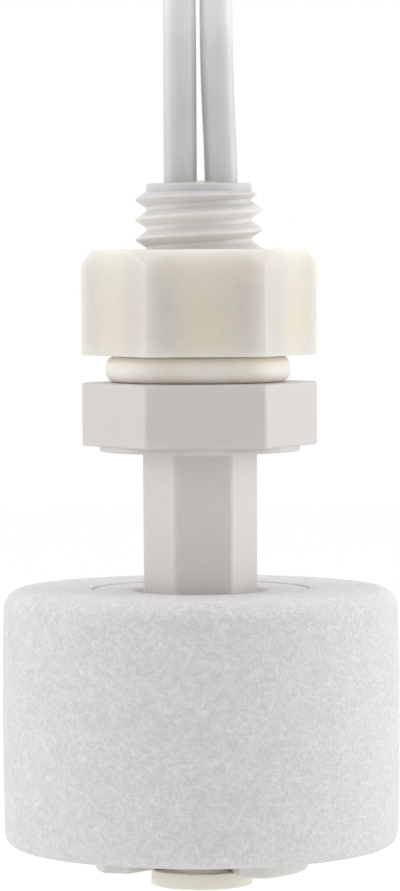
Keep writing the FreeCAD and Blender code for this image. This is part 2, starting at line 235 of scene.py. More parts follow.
def turn(name: str, rings: Sequence[Pair], closed: bool = False, steps: int = 96,
         facing: float = 0.0) -> bpy.types.Object:
    """Makes a turned piece by extruding a circle from ring to ring.

    Args:
        name: The piece's name.
        rings: Radius and height of each ring, in metres.
        closed: Whether the last ring joins the first, as on a washer, or else both ends are filled.
        steps: Corners round the circle.
        facing: Angle of the first corner past +Y, in radians.

    Returns:
        The piece.
    """
    deselect()
    radius, height = rings[0]
    bpy.ops.mesh.primitive_circle_add(vertices=steps, radius=radius, location=(0, 0, height),
                                      rotation=(0, 0, facing), fill_type="NOTHING")
    piece = claim(name)
    with Editing(piece) as edit:
        edit.pick_all()
        for (radius, height), (next_radius, next_height) in pairwise(rings):
            edit.extrude((0, 0, next_height - height))
            edit.spread(next_radius / radius)
        edit.pick(Element.EDGE, lambda edge: edge.is_boundary)
        if closed:
            bpy.ops.mesh.bridge_edge_loops()
        else:
            bpy.ops.mesh.edge_face_add()
        edit.outward()
    return piece


def climb(edge: bmesh.types.BMEdge) -> float:
    """How far apart in height an edge's ends lie."""
    return abs(edge.verts[0].co.z - edge.verts[1].co.z)


def is_corner(edge: bmesh.types.BMEdge) -> bool:
    """Whether an edge joins two heights along one direction from the axis."""
    low, high = (vertex.co for vertex in edge.verts)
    return climb(edge) > CLOSE and abs(low.x * high.y - low.y * high.x) < SAME_WAY


def hex_bar(name: str, levels: Sequence[Pair], rounding: float) -> bpy.types.Object:
    """Makes a hexagonal bar with two flats facing +Y and -Y, and rounded upright edges.

    Args:
        name: The bar's name.
        levels: Size across flats and height of each level, in metres.
        rounding: Radius of the upright edges.

    Returns:
        The bar.
    """
    rings = [(across / math.sqrt(3), height) for across, height in levels]
    bar = turn(name, rings, steps=6, facing=math.radians(30))
    with Editing(bar) as edit:
        edit.pick(Element.EDGE, is_corner)
        bpy.ops.mesh.bevel(offset=rounding, segments=4, affect="EDGES")
    return bar


def chain(name: str, points: Sequence[Point]) -> bpy.types.Object:
    """Makes an open line of edges by extruding one corner from point to point.

    Args:
        name: The line's name.
        points: Its corners, in metres.

    Returns:
        The line.
    """
    deselect()
    bpy.ops.mesh.primitive_plane_add(size=MM)
    piece = claim(name)
    with Editing(piece) as edit:
        edit.pick_all()
        bpy.ops.mesh.merge(type="CENTER")
        bpy.ops.transform.translate(value=points[0])
        for point, following in pairwise(points):
            edit.extrude(Vector(following) - Vector(point))
    return piece


def plate(name: str, outline: Sequence[Pair], low: float, high: float) -> bpy.types.Object:
    """Makes a flat plate from a closed outline.

    Args:
        name: The plate's name.
        outline: Its corners (X, Y), in metres.
        low: Height of its underside.
        high: Height of its top.

    Returns:
        The plate.
    """
    piece = chain(name, [(x, y, low) for x, y in outline])
    with Editing(piece) as edit:
        edit.pick_all()
        bpy.ops.mesh.edge_face_add()
        edit.extrude((0, 0, high - low))
        edit.outward()
    return piece


def arc(middle: Pair, radius: float, start: float, stop: float, steps: int) -> list[Pair]:
    """Points along an arc.

    Args:
        middle: The arc's middle.
        radius: Its radius.
        start: Angle of the first point, in degrees.
        stop: Angle of the last point, in degrees.
        steps: How many parts it is cut into.

    Returns:
        The points, both ends included.
    """
    angles = [math.radians(start + (stop - start) * k / steps) for k in range(steps + 1)]
    return [(middle[0] + radius * math.cos(t), middle[1] + radius * math.sin(t)) for t in angles]


def span(node: str) -> Pair:
    """The heights that a CAD node lies between."""
    low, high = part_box(node)
    return (low[2], high[2])


# --- Materials by nodes -----------------------------------------------------------------------


def srgb(red: float, green: float, blue: float) -> Colour:
    """Turns a colour given in 0 to 255 steps into the shader's linear numbers.

    Args:
        red: Its red step.
        green: Its green step.
        blue: Its blue step.

    Returns:
        The colour.
    """
    steps = [value / 255 for value in (red, green, blue)]
    linear = [s / 12.92 if s <= 0.04045 else ((s + 0.055) / 1.055) ** 2.4 for s in steps]
    return (linear[0], linear[1], linear[2])


class Signal:
    """A number that varies over a surface. Sums on it add Math nodes."""

    def __init__(self, graph: "Graph", socket: bpy.types.NodeSocket) -> None:
        """Keeps the socket that carries the number."""
        self.graph = graph
        self.socket = socket

    def via(self, operation: str, *operands: Any) -> "Signal":
        """The result of one Math node."""
        node = self.graph.node("Math", {"operation": operation}, dict(enumerate(operands)))
        return Signal(self.graph, node.outputs[0])

    def __add__(self, other: "Signal | float") -> "Signal":
        """The sum."""
        return self.via("ADD", self, other)

    __radd__ = __add__

    def __sub__(self, other: "Signal | float") -> "Signal":
        """The difference."""
        return self.via("SUBTRACT", self, other)

    def __rsub__(self, other: float) -> "Signal":
        """The difference, the other way round."""
        return self.via("SUBTRACT", other, self)

    def __mul__(self, other: "Signal | float") -> "Signal":
        """The product."""
        return self.via("MULTIPLY", self, other)

    __rmul__ = __mul__

    def root(self) -> "Signal":
        """The square root."""
        return self.via("SQRT", self)

    def most(self, other: "Signal") -> "Signal":
        """The larger of two."""
        return self.via("MAXIMUM", self, other)

    def step(self, low: float, high: float) -> "Signal":
        """Turns the number into a smooth rise.

        Args:
            low: Where the rise starts, from 0.
            high: Where it ends, at 1.

        Returns:
            The rise.
        """
        node = self.graph.node("MapRange", {"interpolation_type": "SMOOTHSTEP"},
                               {"Value": self, "From Min": low, "From Max": high})
        return Signal(self.graph, node.outputs["Result"])


class Graph:
    """The nodes of one material or world."""

    def __init__(self, owner: bpy.types.Material | bpy.types.World) -> None:
        """Empties the nodes of a new material or world.

        Args:
            owner: The material or world.
        """
        self.owner = owner
        owner.use_nodes = True
        self.tree = owner.node_tree
        self.tree.nodes.clear()

    def node(self, kind: str, settings: dict[str, Any] | None = None,
             inputs: dict[Any, Any] | None = None) -> bpy.types.Node:
        """Adds a node.

        Args:
            kind: The node's type, without its ShaderNode start.
            settings: Its settings, set first.
            inputs: Values or links of its sockets, by name or number.

        Returns:
            The node.
        """
        node = self.tree.nodes.new(f"ShaderNode{kind}")
        for key, value in (settings or {}).items():
            setattr(node, key, value)
        for key, value in (inputs or {}).items():
            source = value.socket if isinstance(value, Signal) else value
            if isinstance(source, bpy.types.NodeSocket):
                self.tree.links.new(source, node.inputs[key])
            else:
                node.inputs[key].default_value = source
        return node

    def rays(self, *kinds: str) -> Signal:
        """Where the light path is of one of some kinds.

        Args:
            kinds: The kinds of ray, such as Camera.

        Returns:
            1 on such a ray, and 0 on any other.
        """
        path = self.node("LightPath")
        first, *rest = (Signal(self, path.outputs[f"Is {kind} Ray"]) for kind in kinds)
        for kind in rest:
            first = first.most(kind)
        return first

    def place(self) -> bpy.types.NodeSocket:
        """The point on the surface, in metres."""
        return self.node("TexCoord").outputs["Object"]

    def axes(self) -> tuple[Signal, Signal, Signal]:
        """Splits the point on the surface.

        Returns:
            Its X, Y and Z.
        """
        split = self.node("SeparateXYZ", inputs={0: self.place()})
        x, y, z = (Signal(self, output) for output in split.outputs)
        return (x, y, z)

    def noise(self, size: float, detail: float = 2.0, stretch: Point = (1, 1, 1),
              lean: Point = (0, 0, 0), offset: Point = (0, 0, 0)) -> Signal:
        """Cloudy noise from 0 to 1.

        Args:
            size: Width of its blotches, in metres.
            detail: How many finer layers it has.
            stretch: How many times longer the blotches are along each axis.
            lean: Turn of the stretched axes, in radians.
            offset: Where the pattern starts.

        Returns:
            The noise.
        """
        spot = self.node("Mapping", {"vector_type": "TEXTURE"},
                         {"Vector": self.place(), "Rotation": lean, "Location": offset,
                          "Scale": tuple(size * times for times in stretch)})
        grain = self.node("TexNoise", {"noise_dimensions": "3D"},
                          {"Vector": spot.outputs[0], "Scale": 1.0, "Detail": detail})
        return Signal(self, grain.outputs[0])

    def blend(self, share: Signal, start: Any, stop: Any) -> bpy.types.NodeSocket:
        """Mixes two colours.

        Args:
            share: How much of the second shows.
            start: The first colour, or a link to it.
            stop: The second colour, or a link to it.

        Returns:
            The mixed colour.
        """
        colours = {6: start, 7: stop}
        opaque = {key: (*c, 1.0) if isinstance(c, tuple) else c for key, c in colours.items()}
        return self.node("Mix", {"data_type": "RGBA"}, {0: share, **opaque}).outputs[2]

    def bump(self, height: Signal, depth: float, strength: float = 1.0) -> bpy.types.NodeSocket:
        """A normal that follows a height.

        Args:
            height: The height, from 0 to 1.
            depth: Its full range, in metres.
            strength: How strongly it shows.

        Returns:
            The normal.
        """
        node = self.node("Bump", inputs={"Height": height, "Distance": depth, "Strength": strength})
        return node.outputs[0]

    def finish(self, **sockets: Any) -> bpy.types.Material:
        """Ends the material with one Principled shader.

        Args:
            sockets: Its inputs, with underscores for spaces.

        Returns:
            The material.
        """
        named = {key.replace("_", " "): value for key, value in sockets.items()}
        opaque = {key: (*value, 1.0) if "Color" in key and isinstance(value, tuple) else value
                  for key, value in named.items()}
        shader = self.node("BsdfPrincipled", inputs=opaque)
        self.node("OutputMaterial", inputs={"Surface": shader.outputs[0]})
        return self.owner


def new_graph(name: str) -> Graph:
    """Starts an empty material."""
    return Graph(bpy.data.materials.new(name))


@dataclass(frozen=True)
class MouldedPlastic:
    """Satin moulded plastic, a little translucent, whose tint changes with depth in the wall and
    with height; on the nut that tint is painted light and shade.

    Each band gives the core's tint below a height.
    """

    name: str
    skin: Colour
    core: Colour
    core_radius: float
    skin_radius: float
    bands: tuple[tuple[float, Colour], ...] = ()
    fade: float = 0.6 * MM
    grime: Colour = srgb(176, 172, 166)
    roughness: float = 0.42
    glow: float = 0.25
    glow_tint: Point = (1.0, 0.94, 0.84)
    glow_depth: float = 0.9 * MM
    cloud: float = 2.6 * MM
    mottle: float = 0.7 * MM
    scuff: float = 0.5 * MM
    orange_peel: float = 0.35 * MM
    orange_peel_depth: float = 0.006 * MM

    def material(self) -> bpy.types.Material:
        """Builds the material.

        Returns:
            The material.
        """
        graph = new_graph(self.name)
        x, y, z = graph.axes()
        cloud = graph.noise(self.cloud, 3.0)
        drift = z + (cloud - 0.5) * 1.2 * MM
        inner: Any = self.core
        for level, tint in self.bands:
            inner = graph.blend(drift.step(level - self.fade, level + self.fade), tint, inner)
        # On the nut the core tint, over the middles of the flats where the wall round the bore is
        # thin, is painted light and shade: the thread and its shade seen through the translucent
        # wall.
        wall = self.skin_radius - self.core_radius
        depth = (x * x + y * y).root() + (cloud - 0.5) * wall * 0.5
        colour = graph.blend(depth.step(self.core_radius, self.skin_radius), inner, self.skin)
        mottle = graph.noise(self.mottle, 4.0, offset=(0.3, 0.1, 0.7))
        colour = graph.blend(mottle.step(0.35, 0.75) * 0.08, colour, self.grime)
        scuff = graph.noise(self.scuff, 3.0, stretch=(6, 1, 1), lean=(0.3, 0.7, 0.2))
        rough = self.roughness + scuff.step(0.6, 0.8) * 0.12 + (mottle - 0.5) * 0.08
        peel = graph.noise(self.orange_peel, 2.0)
        return graph.finish(Base_Color=colour, Roughness=rough,
                            Normal=graph.bump(peel, self.orange_peel_depth),
                            Subsurface_Weight=self.glow, Subsurface_Radius=self.glow_tint,
                            Subsurface_Scale=self.glow_depth, IOR=1.49)


@dataclass(frozen=True)
class FeltedFoam:
    """Foamed plastic whose skin shows short fibres lying every way, most of them level."""

    name: str = "felted_foam"
    pale: Colour = srgb(229, 228, 229)
    dark: Colour = srgb(210, 208, 210)
    fibre_length: float = 1.0 * MM
    fibre_width: float = 0.16 * MM
    leans: tuple[float, ...] = (0.0, 0.2, -0.25, 0.5, -0.6, 1.2)
    cloud: float = 1.6 * MM
    speckle: float = 0.2 * MM
    nap: float = 0.05 * MM
    glow_depth: float = 0.6 * MM

    def material(self) -> bpy.types.Material:
        """Builds the material.

        Returns:
            The material.
        """
        graph = new_graph(self.name)
        lengthwise = (self.fibre_length / self.fibre_width, 2, 1)
        heap: Signal | None = None
        for lay, lean in enumerate(self.leans):
            lying = graph.noise(self.fibre_width, 1.0, stretch=lengthwise,
                                lean=(0.5 * lay, lean, 0.7 * lay),
                                offset=(lay * 0.013, lay * 0.007, 0))
            fibres = lying.step(0.40, 0.85)
            heap = fibres if heap is None else heap.most(fibres)
        soft = graph.noise(self.cloud, 3.0)
        speckle = graph.noise(self.speckle, 2.0)
        height = heap * 0.8 + speckle * 0.2
        shade = heap * 0.9 + (soft - 0.5) * 0.5 + (speckle - 0.5) * 0.25
        colour = graph.blend(shade.step(0.0, 1.0), self.dark, self.pale)
        return graph.finish(Base_Color=colour, Roughness=0.82 - heap * 0.12,
                            Normal=graph.bump(height, self.nap, 0.6), IOR=1.45,
                            Subsurface_Weight=0.3, Subsurface_Radius=(1.0, 1.0, 1.0),
                            Subsurface_Scale=self.glow_depth)


@dataclass(frozen=True)
class Silicone:
    """Translucent cream silicone, smooth, with dust in it."""

    name: str = "silicone"
    deep: Colour = srgb(241, 233, 221)
    pale: Colour = srgb(247, 241, 232)
    dust: Colour = srgb(244, 242, 236)
    cloud: float = 1.4 * MM
    dust_size: float = 0.12 * MM
    wave: float = 0.5 * MM
    wave_depth: float = 0.008 * MM
    glow_tint: Point = (1.0, 0.94, 0.84)
    glow_depth: float = 1.2 * MM

    def material(self) -> bpy.types.Material:
        """Builds the material.

        Returns:
            The material.
        """
        graph = new_graph(self.name)
        cloud = graph.noise(self.cloud, 3.0)
        dust = graph.noise(self.dust_size, 1.0).step(0.72, 0.80)
        colour = graph.blend(cloud.step(0.3, 0.75), self.deep, self.pale)
        colour = graph.blend(dust * 0.35, colour, self.dust)
        rough = 0.38 + dust * 0.3 + (cloud - 0.5) * 0.1
        return graph.finish(Base_Color=colour, Roughness=rough,
                            Normal=graph.bump(graph.noise(self.wave), self.wave_depth),
                            Subsurface_Weight=1.0, Subsurface_Radius=self.glow_tint,
                            Subsurface_Scale=self.glow_depth, IOR=1.41)


@dataclass(frozen=True)
class WireInsulation:
    """Drawn white insulation, satin, with fine die lines, and painted shade that greys it near the
    shank.
    """

    name: str = "wire_insulation"
    pale: Colour = srgb(233, 233, 233)
    painted_shade: Colour = srgb(208, 208, 209)
    smudged: Colour = srgb(190, 190, 192)
    painted_shade_below: float = 16.5 * MM
    pale_above: float = 24.5 * MM
    die_line: float = 0.09 * MM
    die_line_depth: float = 0.004 * MM
    smudge: float = 1.8 * MM
    glow_depth: float = 0.4 * MM

    def material(self) -> bpy.types.Material:
        """Builds the material.

        Returns:
            The material.
        """
        graph = new_graph(self.name)
        _, _, z = graph.axes()
        lines = graph.noise(self.die_line, 1.0, stretch=(1, 1, 40))
        smudge = graph.noise(self.smudge, 3.0, stretch=(1, 1, 2))
        # Painted shade: greyer down towards the shank and paler higher up, standing in for light
        # that falls from above.
        colour = graph.blend(z.step(self.painted_shade_below, self.pale_above), self.painted_shade, self.pale)
        colour = graph.blend(smudge.step(0.4, 0.75) * 0.3 + lines * 0.15, colour, self.smudged)
        rough = 0.24 + lines * 0.12 + (smudge - 0.5) * 0.1
        return graph.finish(Base_Color=colour, Roughness=rough,
                            Normal=graph.bump(lines, self.die_line_depth), IOR=1.5,
                            Subsurface_Weight=0.12, Subsurface_Scale=self.glow_depth)


@dataclass(frozen=True)
class CastResin:
    """Poured resin, glossy on top, with a few small bubbles."""

    name: str = "cast_resin"
    body: Colour = srgb(226, 221, 208)
    cloudy: Colour = srgb(206, 199, 182)
    swirl: float = 0.9 * MM
    bubble: float = 0.16 * MM
    relief: float = 0.02 * MM
    glow_depth: float = 0.6 * MM

    def material(self) -> bpy.types.Material:
        """Builds the material.

        Returns:
            The material.
        """
        graph = new_graph(self.name)
        swirl = graph.noise(self.swirl, 4.0)
        bubbles = graph.noise(self.bubble, 0.0).step(0.76, 0.82)
        colour = graph.blend(swirl.step(0.3, 0.7), self.body, self.cloudy)
        return graph.finish(Base_Color=colour, Roughness=0.16 + swirl * 0.12, Coat_Weight=0.4,
                            Normal=graph.bump(swirl * 0.4 - bubbles, self.relief), IOR=1.54,
                            Subsurface_Weight=0.3, Subsurface_Scale=self.glow_depth)


@dataclass(frozen=True)
class CapsuleGlass:
    """Thin greenish glass, drawn in a flame, so it is faintly streaked."""

    name: str = "capsule_glass"
    clear: Colour = srgb(226, 240, 232)
    green: Colour = srgb(206, 226, 214)
    streak: float = 0.3 * MM
    streak_depth: float = 0.004 * MM

    def material(self) -> bpy.types.Material:
        """Builds the material.

        Returns:
            The material.
        """
        graph = new_graph(self.name)
        streak = graph.noise(self.streak, 2.0, stretch=(1, 1, 12))
        colour = graph.blend(streak, self.clear, self.green)
        return graph.finish(Base_Color=colour, Roughness=0.03 + streak * 0.05, IOR=1.5,
                            Transmission_Weight=0.92,
                            Normal=graph.bump(streak, self.streak_depth))


class Metal(Enum):
    """The metals in the switch."""

    REED = "reed_alloy"
    TINNED = "tinned_copper"
    SOLDER = "solder"


@dataclass(frozen=True)
class BareMetal:
    """Drawn wire, tinned strands or solder, told apart by colour, grain and dullness."""

    metal: Metal
    bright: Colour
    dull: Colour
    roughness: float
    grain_length: float
    grain: float = 0.05 * MM
    grain_depth: float = 0.004 * MM
    tarnish: float = 0.8 * MM

    def material(self) -> bpy.types.Material:
        """Builds the material.

        Returns:
            The material.
        """
        graph = new_graph(self.metal.value)
        grain = graph.noise(self.grain, 2.0, stretch=(1, 1, self.grain_length))
        tarnish = graph.noise(self.tarnish, 3.0).step(0.45, 0.75)
        colour = graph.blend(tarnish * 0.6 + grain * 0.3, self.bright, self.dull)
        return graph.finish(Base_Color=colour, Metallic=1.0,
                            Roughness=self.roughness + tarnish * 0.15,
                            Normal=graph.bump(grain, self.grain_depth))


REED_ALLOY = BareMetal(Metal.REED, srgb(206, 202, 194), srgb(168, 162, 152), 0.28, 30)
TINNED_COPPER = BareMetal(Metal.TINNED, srgb(214, 213, 210), srgb(182, 180, 174), 0.3, 20)
SOLDER = BareMetal(Metal.SOLDER, srgb(202, 203, 205), srgb(160, 161, 164), 0.22, 2)


@dataclass(frozen=True)
class Ferrite:
    """Sintered ferrite: dark, matte and speckled."""

    name: str = "ferrite"
    dark: Colour = srgb(50, 50, 54)
    speckled: Colour = srgb(98, 98, 102)
    patchy: Colour = srgb(72, 70, 70)
    grit: float = 0.12 * MM
    grit_depth: float = 0.02 * MM
    patch: float = 1.5 * MM

    def material(self) -> bpy.types.Material:
        """Builds the material.

        Returns:
            The material.
        """
        graph = new_graph(self.name)
        grit = graph.noise(self.grit, 3.0)
        patch = graph.noise(self.patch, 2.0)
        colour = graph.blend(grit.step(0.5, 0.8), self.dark, self.speckled)
        colour = graph.blend(patch * 0.3, colour, self.patchy)
        return graph.finish(Base_Color=colour, Roughness=0.62 + (grit - 0.5) * 0.3,
                            Normal=graph.bump(grit, self.grit_depth))


@dataclass(frozen=True)
class StripBand:
    """Soft white strip with a fine ribbed face."""

    name: str = "tie_strip"
    pale: Colour = srgb(240, 240, 236)
    shaded: Colour = srgb(214, 213, 207)
    rib: float = 0.5 * MM
    rib_depth: float = 0.05 * MM
    cloud: float = 1.2 * MM
    glow_depth: float = 0.3 * MM

    def material(self) -> bpy.types.Material:
        """Builds the material.

        Returns:
            The material.
        """
        graph = new_graph(self.name)
        _, _, z = graph.axes()
        ribs = (z * (2 * math.pi / self.rib)).via("SINE") * 0.5 + 0.5
        cloud = graph.noise(self.cloud, 3.0)
        colour = graph.blend(ribs * 0.4 + cloud * 0.4, self.pale, self.shaded)
        return graph.finish(Base_Color=colour, Roughness=0.5 + (cloud - 0.5) * 0.2,
                            Normal=graph.bump(ribs, self.rib_depth), Subsurface_Weight=0.1,
                            Subsurface_Scale=self.glow_depth)


def dress(node: str, material: bpy.types.Material) -> None:
    """Gives a CAD node its material.

    Args:
        node: The node's name.
        material: Its material.
    """
    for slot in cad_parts[node].material_slots:
        slot.material = material
    LOG.info("%s: dressed", node)


def enter(piece: bpy.types.Object, material: bpy.types.Material, body: str, slot: str,
          *nodes: str) -> None:
    """Enters a finished piece in the frame.

    Args:
        piece: The piece.
        material: Its material.
        body: The body that it moves with.
        slot: The record's material slot. It is not used.
        nodes: The CAD nodes that it stands for.
    """
    piece.data.materials.clear()
    piece.data.materials.append(material)
    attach(piece, body)
    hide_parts(*nodes)
    LOG.info("%s: built, stands for %s", piece.name, ", ".join(nodes))


# --- Body, nut and ring -----------------------------------------------------------------------


QUARTER = 0.3  # how far in and down the middle of a small rounded edge lies, as a share of it


@dataclass
class StemBody:
    """The one moulding: threaded shank, flange, hexagonal stem, neck and foot, and the bore."""

    crest_r: float = 4.02 * MM
    root_r: float = 3.36 * MM
    pitch: float = 1.25 * MM
    crest_level: float = 9.647 * MM
    crest_flat: float = 0.12 * MM
    crest_round: float = 0.03 * MM
    root_flat: float = 0.27 * MM
    thread_laps: int = 15
    laps_below: int = 10
    lap_steps: int = 72
    seam: float = 0.004 * MM
    collar_r: float = 3.33 * MM
    collar_low: float = 12.05 * MM
    collar_bevel: float = 0.15 * MM
    run_in: float = 2.0
    flange_af: float = 13.0 * MM
    flange_foot: float = -4.0 * MM
    flange_round: float = 0.2 * MM
    boss_r: float = 6.35 * MM
    boss_h: float = 0.36 * MM
    boss_edge: float = 0.08 * MM
    gate: Point = (0.4 * MM, -5.9 * MM, -4.46 * MM)
    gate_r: float = 0.3 * MM
    gate_tip: float = 0.1 * MM
    gate_taper: float = 0.6
    stem_top_af: float = 6.38 * MM
    stem_foot_af: float = 6.25 * MM
    stem_foot: float = -29.38 * MM
    stem_round: float = 0.2 * MM
    root_fillet: float = 0.3 * MM
    fillet_degrees: tuple[int, ...] = (0, 22, 45, 68, 90)
    neck_r: float = 2.5 * MM
    foot_r: float = 3.22 * MM
    foot_h: float = 1.0 * MM
    foot_edge: float = 0.1 * MM
    wide_bore_r: float = 2.61 * MM
    wide_bore_floor: float = 0.6 * MM
    reed_bore_r: float = 1.6 * MM
    blade_gap: float = 0.1 * MM
    overlap: float = 0.1 * MM
    deep_overlap: float = 0.3 * MM

    def __post_init__(self) -> None:
        """Reads the shank's end and the foot's end from the frame, and the bore's floor."""
        self.bottom, self.top = span("stem_body")
        self.reed_bore_floor = span("reed_blade_lower")[0] - self.blade_gap
        self.boss_foot = self.flange_foot - self.boss_h
        self.cut = self.flange_foot / 2

    def thread(self) -> bpy.types.Object:
        """Winds one turn's profile round the axis, and cuts the rod level at both ends.

        Returns:
            The threaded rod.
        """
        middle = self.pitch / 2
        shoulder = self.crest_flat / 2 + self.crest_round
        half_root = self.root_flat / 2
        profile = [
            (self.root_r, 0.0),
            (self.root_r, half_root),
            (self.crest_r - self.crest_round, middle - shoulder),
            (self.crest_r, middle - self.crest_flat / 2),
            (self.crest_r, middle + self.crest_flat / 2),
            (self.crest_r - self.crest_round, middle + shoulder),
            (self.root_r, self.pitch - half_root),
            (self.root_r, self.pitch),
        ]
        start = self.crest_level - middle - self.laps_below * self.pitch
        rod = chain("switch_stem", [(radius, 0.0, start + rise) for radius, rise in profile])
        modify(rod, "SCREW", angle=2 * math.pi, screw_offset=self.pitch, axis="Z",
               iterations=self.thread_laps, steps=self.lap_steps, render_steps=self.lap_steps)
        with Editing(rod) as edit:
            edit.pick_all()
            bpy.ops.mesh.remove_doubles(threshold=self.seam)
        for height, up in ((self.cut, -1), (self.top + self.pitch / 2, 1)):
            with Editing(rod) as edit:
                edit.pick_all()
                bpy.ops.mesh.bisect(plane_co=(0, 0, height), plane_no=(0, 0, up), use_fill=True,
                                    clear_outer=True, threshold=CLOSE)
        with Editing(rod) as edit:
            edit.outward()
        return rod

    def shank(self) -> bpy.types.Object:
        """Runs the thread out under the plain collar at its upper end.

        Returns:
            The shank.
        """
        rod = self.thread()
        clear_r = self.crest_r + self.deep_overlap
        run_foot = self.collar_low - (clear_r - self.collar_r) / self.run_in
        middle = QUARTER * self.collar_bevel
        envelope = turn("envelope", [
            (clear_r, self.cut + self.overlap),
            (clear_r, run_foot),
            (self.collar_r, self.collar_low),
            (self.collar_r, self.top - self.collar_bevel),
            (self.collar_r - middle, self.top - middle),
            (self.collar_r - self.collar_bevel, self.top),
        ])
        combine(rod, envelope, "INTERSECT")
        return rod

    def flange(self) -> bpy.types.Object:
        """Makes the hexagonal flange and rounds all its edges.

        Returns:
            The flange.
        """
        bar = hex_bar("flange", [(self.flange_af, self.flange_foot), (self.flange_af, 0.0)],
                      self.flange_round)
        with Editing(bar) as edit:
            edit.pick(Element.EDGE, lambda edge: climb(edge) < CLOSE)
            bpy.ops.mesh.bevel(offset=0.8 * self.flange_round, segments=3, affect="EDGES")
        return bar

    def boss(self) -> bpy.types.Object:
        """Turns the low round boss under the flange.

        Returns:
            The boss.
        """
        return turn("boss", [
            (self.boss_r, self.cut),
            (self.boss_r, self.boss_foot + self.boss_edge),
            (self.boss_r - self.boss_edge, self.boss_foot),
        ])

    def gate_stub(self) -> bpy.types.Object:
        """Makes what is left of the moulding's gate, under the front of the flange.

        Returns:
            The stub.
        """
        x, y, low = self.gate
        stub = turn("gate", [
            (self.gate_r, self.cut),
            (self.gate_r, low + self.gate_tip),
            (self.gate_taper * self.gate_r, low),
        ], steps=24)
        shift(stub, (x, y, 0))
        return stub

    def stem(self) -> bpy.types.Object:
        """Makes the tapering hexagonal stem, with a fillet where it leaves the boss.

        Returns:
            The stem.
        """
        levels = [(self.stem_top_af + 2 * self.root_fillet, self.boss_foot + self.overlap)]
        for degrees in self.fillet_degrees:
            t = math.radians(degrees)
            out = self.root_fillet * (1 - math.sin(t))
            down = self.root_fillet * (1 - math.cos(t))
            levels.append((self.stem_top_af + 2 * out, self.boss_foot - down))
        levels.append((self.stem_foot_af, self.stem_foot))
        return hex_bar("stem", levels, self.stem_round)

    def foot(self) -> tuple[bpy.types.Object, bpy.types.Object]:
        """Turns the neck that the clip grips, and the round foot under it.

        Returns:
            The neck and the foot.
        """
        foot_top = self.bottom + self.foot_h
        neck = turn("neck", [
            (self.neck_r, self.stem_foot + self.deep_overlap),
            (self.neck_r, foot_top - self.deep_overlap),
        ])
        low_edge, top_edge = QUARTER * self.foot_edge, 2 * QUARTER * self.foot_edge
        foot = turn("foot", [
            (self.foot_r - self.foot_edge, self.bottom),
            (self.foot_r - low_edge, self.bottom + low_edge),
            (self.foot_r, self.bottom + self.foot_edge),
            (self.foot_r, foot_top - top_edge),
            (self.foot_r - top_edge, foot_top),
        ])
        return neck, foot

    def bore(self) -> bpy.types.Object:
        """Turns the room for the reed switch and the potting.

        Returns:
            The bore, as a solid to cut with.
        """
        return turn("bore", [
            (self.reed_bore_r, self.reed_bore_floor),
            (self.reed_bore_r, self.wide_bore_floor),
            (self.wide_bore_r, self.wide_bore_floor),
            (self.wide_bore_r, self.top + MM),
        ])

    def build(self, material: bpy.types.Material) -> None:
        """Joins the forms, bores them and enters the body.

        Args:
            material: The moulding's plastic.
        """
        body = self.shank()
        gate, boss = self.gate_stub(), self.boss()
        neck, foot = self.foot()
        for form in (self.flange(), boss, gate, self.stem(), neck, foot):
            combine(body, form, "UNION")
        combine(body, self.bore(), "DIFFERENCE")
        smooth(body)
        enter(body, material, "switch_body", "stem_plastic", "stem_body")


@dataclass
class ClampNut:
    """The hexagonal nut, chamfered on its upper side only."""

    across_flats: float = 13.05 * MM
    chamfer_r: float = 6.72 * MM
    chamfer_h: float = 0.89 * MM
    chamfer_bend: float = 0.97
    edge: float = 0.1 * MM
    bore_r: float = 4.06 * MM
    mouth: float = 0.45 * MM
    cone_steps: int = 144
    sharp_degrees: float = 24

    def build(self, material: bpy.types.Material) -> None:
        """Cuts the bar to the chamfer's cone, bores it and enters the nut.

        Args:
            material: The nut's plastic.
        """
        low, high = span("clamp_nut")
        nut = hex_bar("hex_nut", [(self.across_flats, low), (self.across_flats, high)], self.edge)
        corner_r = self.across_flats / math.sqrt(3)
        cone = turn("cone", [
            (corner_r - self.edge, low),
            (corner_r + self.edge, low + 2 * self.edge),
            (corner_r + self.edge, high - self.chamfer_h),
            (corner_r - self.edge, high - self.chamfer_bend * self.chamfer_h),
            (self.chamfer_r + self.edge, high - self.edge),
            (self.chamfer_r, high - QUARTER * self.edge),
            (self.chamfer_r - self.edge, high),
        ], steps=self.cone_steps)
        combine(nut, cone, "INTERSECT")
        past = self.mouth / 2
        mouth_r = self.bore_r + self.mouth + past
        bore = turn("nut_bore", [
            (mouth_r, low - past),
            (self.bore_r, low + self.mouth),
            (self.bore_r, high - self.mouth),
            (mouth_r, high + past),
        ])
        combine(nut, bore, "DIFFERENCE")
        smooth(nut, self.sharp_degrees)
        enter(nut, material, "nut", "nut_plastic", "clamp_nut")


@dataclass
class SealingRing:
    """The silicone ring, squeezed so that its sides bulge."""

    inner_r: float = 4.14 * MM
    outer_r: float = 5.86 * MM
    shift: float = -0.1 * MM
    bulge: float = 2.6
    steps: int = 28

    def section(self) -> list[Pair]:
        """Draws the ring's section as a superellipse.

        Returns:
            Radius and height of each ring of corners.
        """
        low, high = span("sealing_ring")
        middle_r, middle_z = (self.inner_r + self.outer_r) / 2, (low + high) / 2
        half_w, half_h = (self.outer_r - self.inner_r) / 2, (high - low) / 2
        rings = []
        for k in range(self.steps):
            t = 2 * math.pi * k / self.steps
            out, up = (math.copysign(abs(v) ** (2 / self.bulge), v)
                       for v in (math.cos(t), math.sin(t)))
            rings.append((middle_r + half_w * out, middle_z + half_h * up))
        return rings

    def build(self, material: bpy.types.Material) -> None:
        """Turns the section, sets the ring a little to one side and enters it.

        Args:
            material: The ring's silicone.
        """
        ring = turn("seal_ring", self.section(), closed=True)
        shift(ring, (self.shift, 0, 0))
        smooth(ring, 60)
        enter(ring, material, "switch_body", "silicone", "sealing_ring")


# --- Float and clip -----------------------------------------------------------------------------


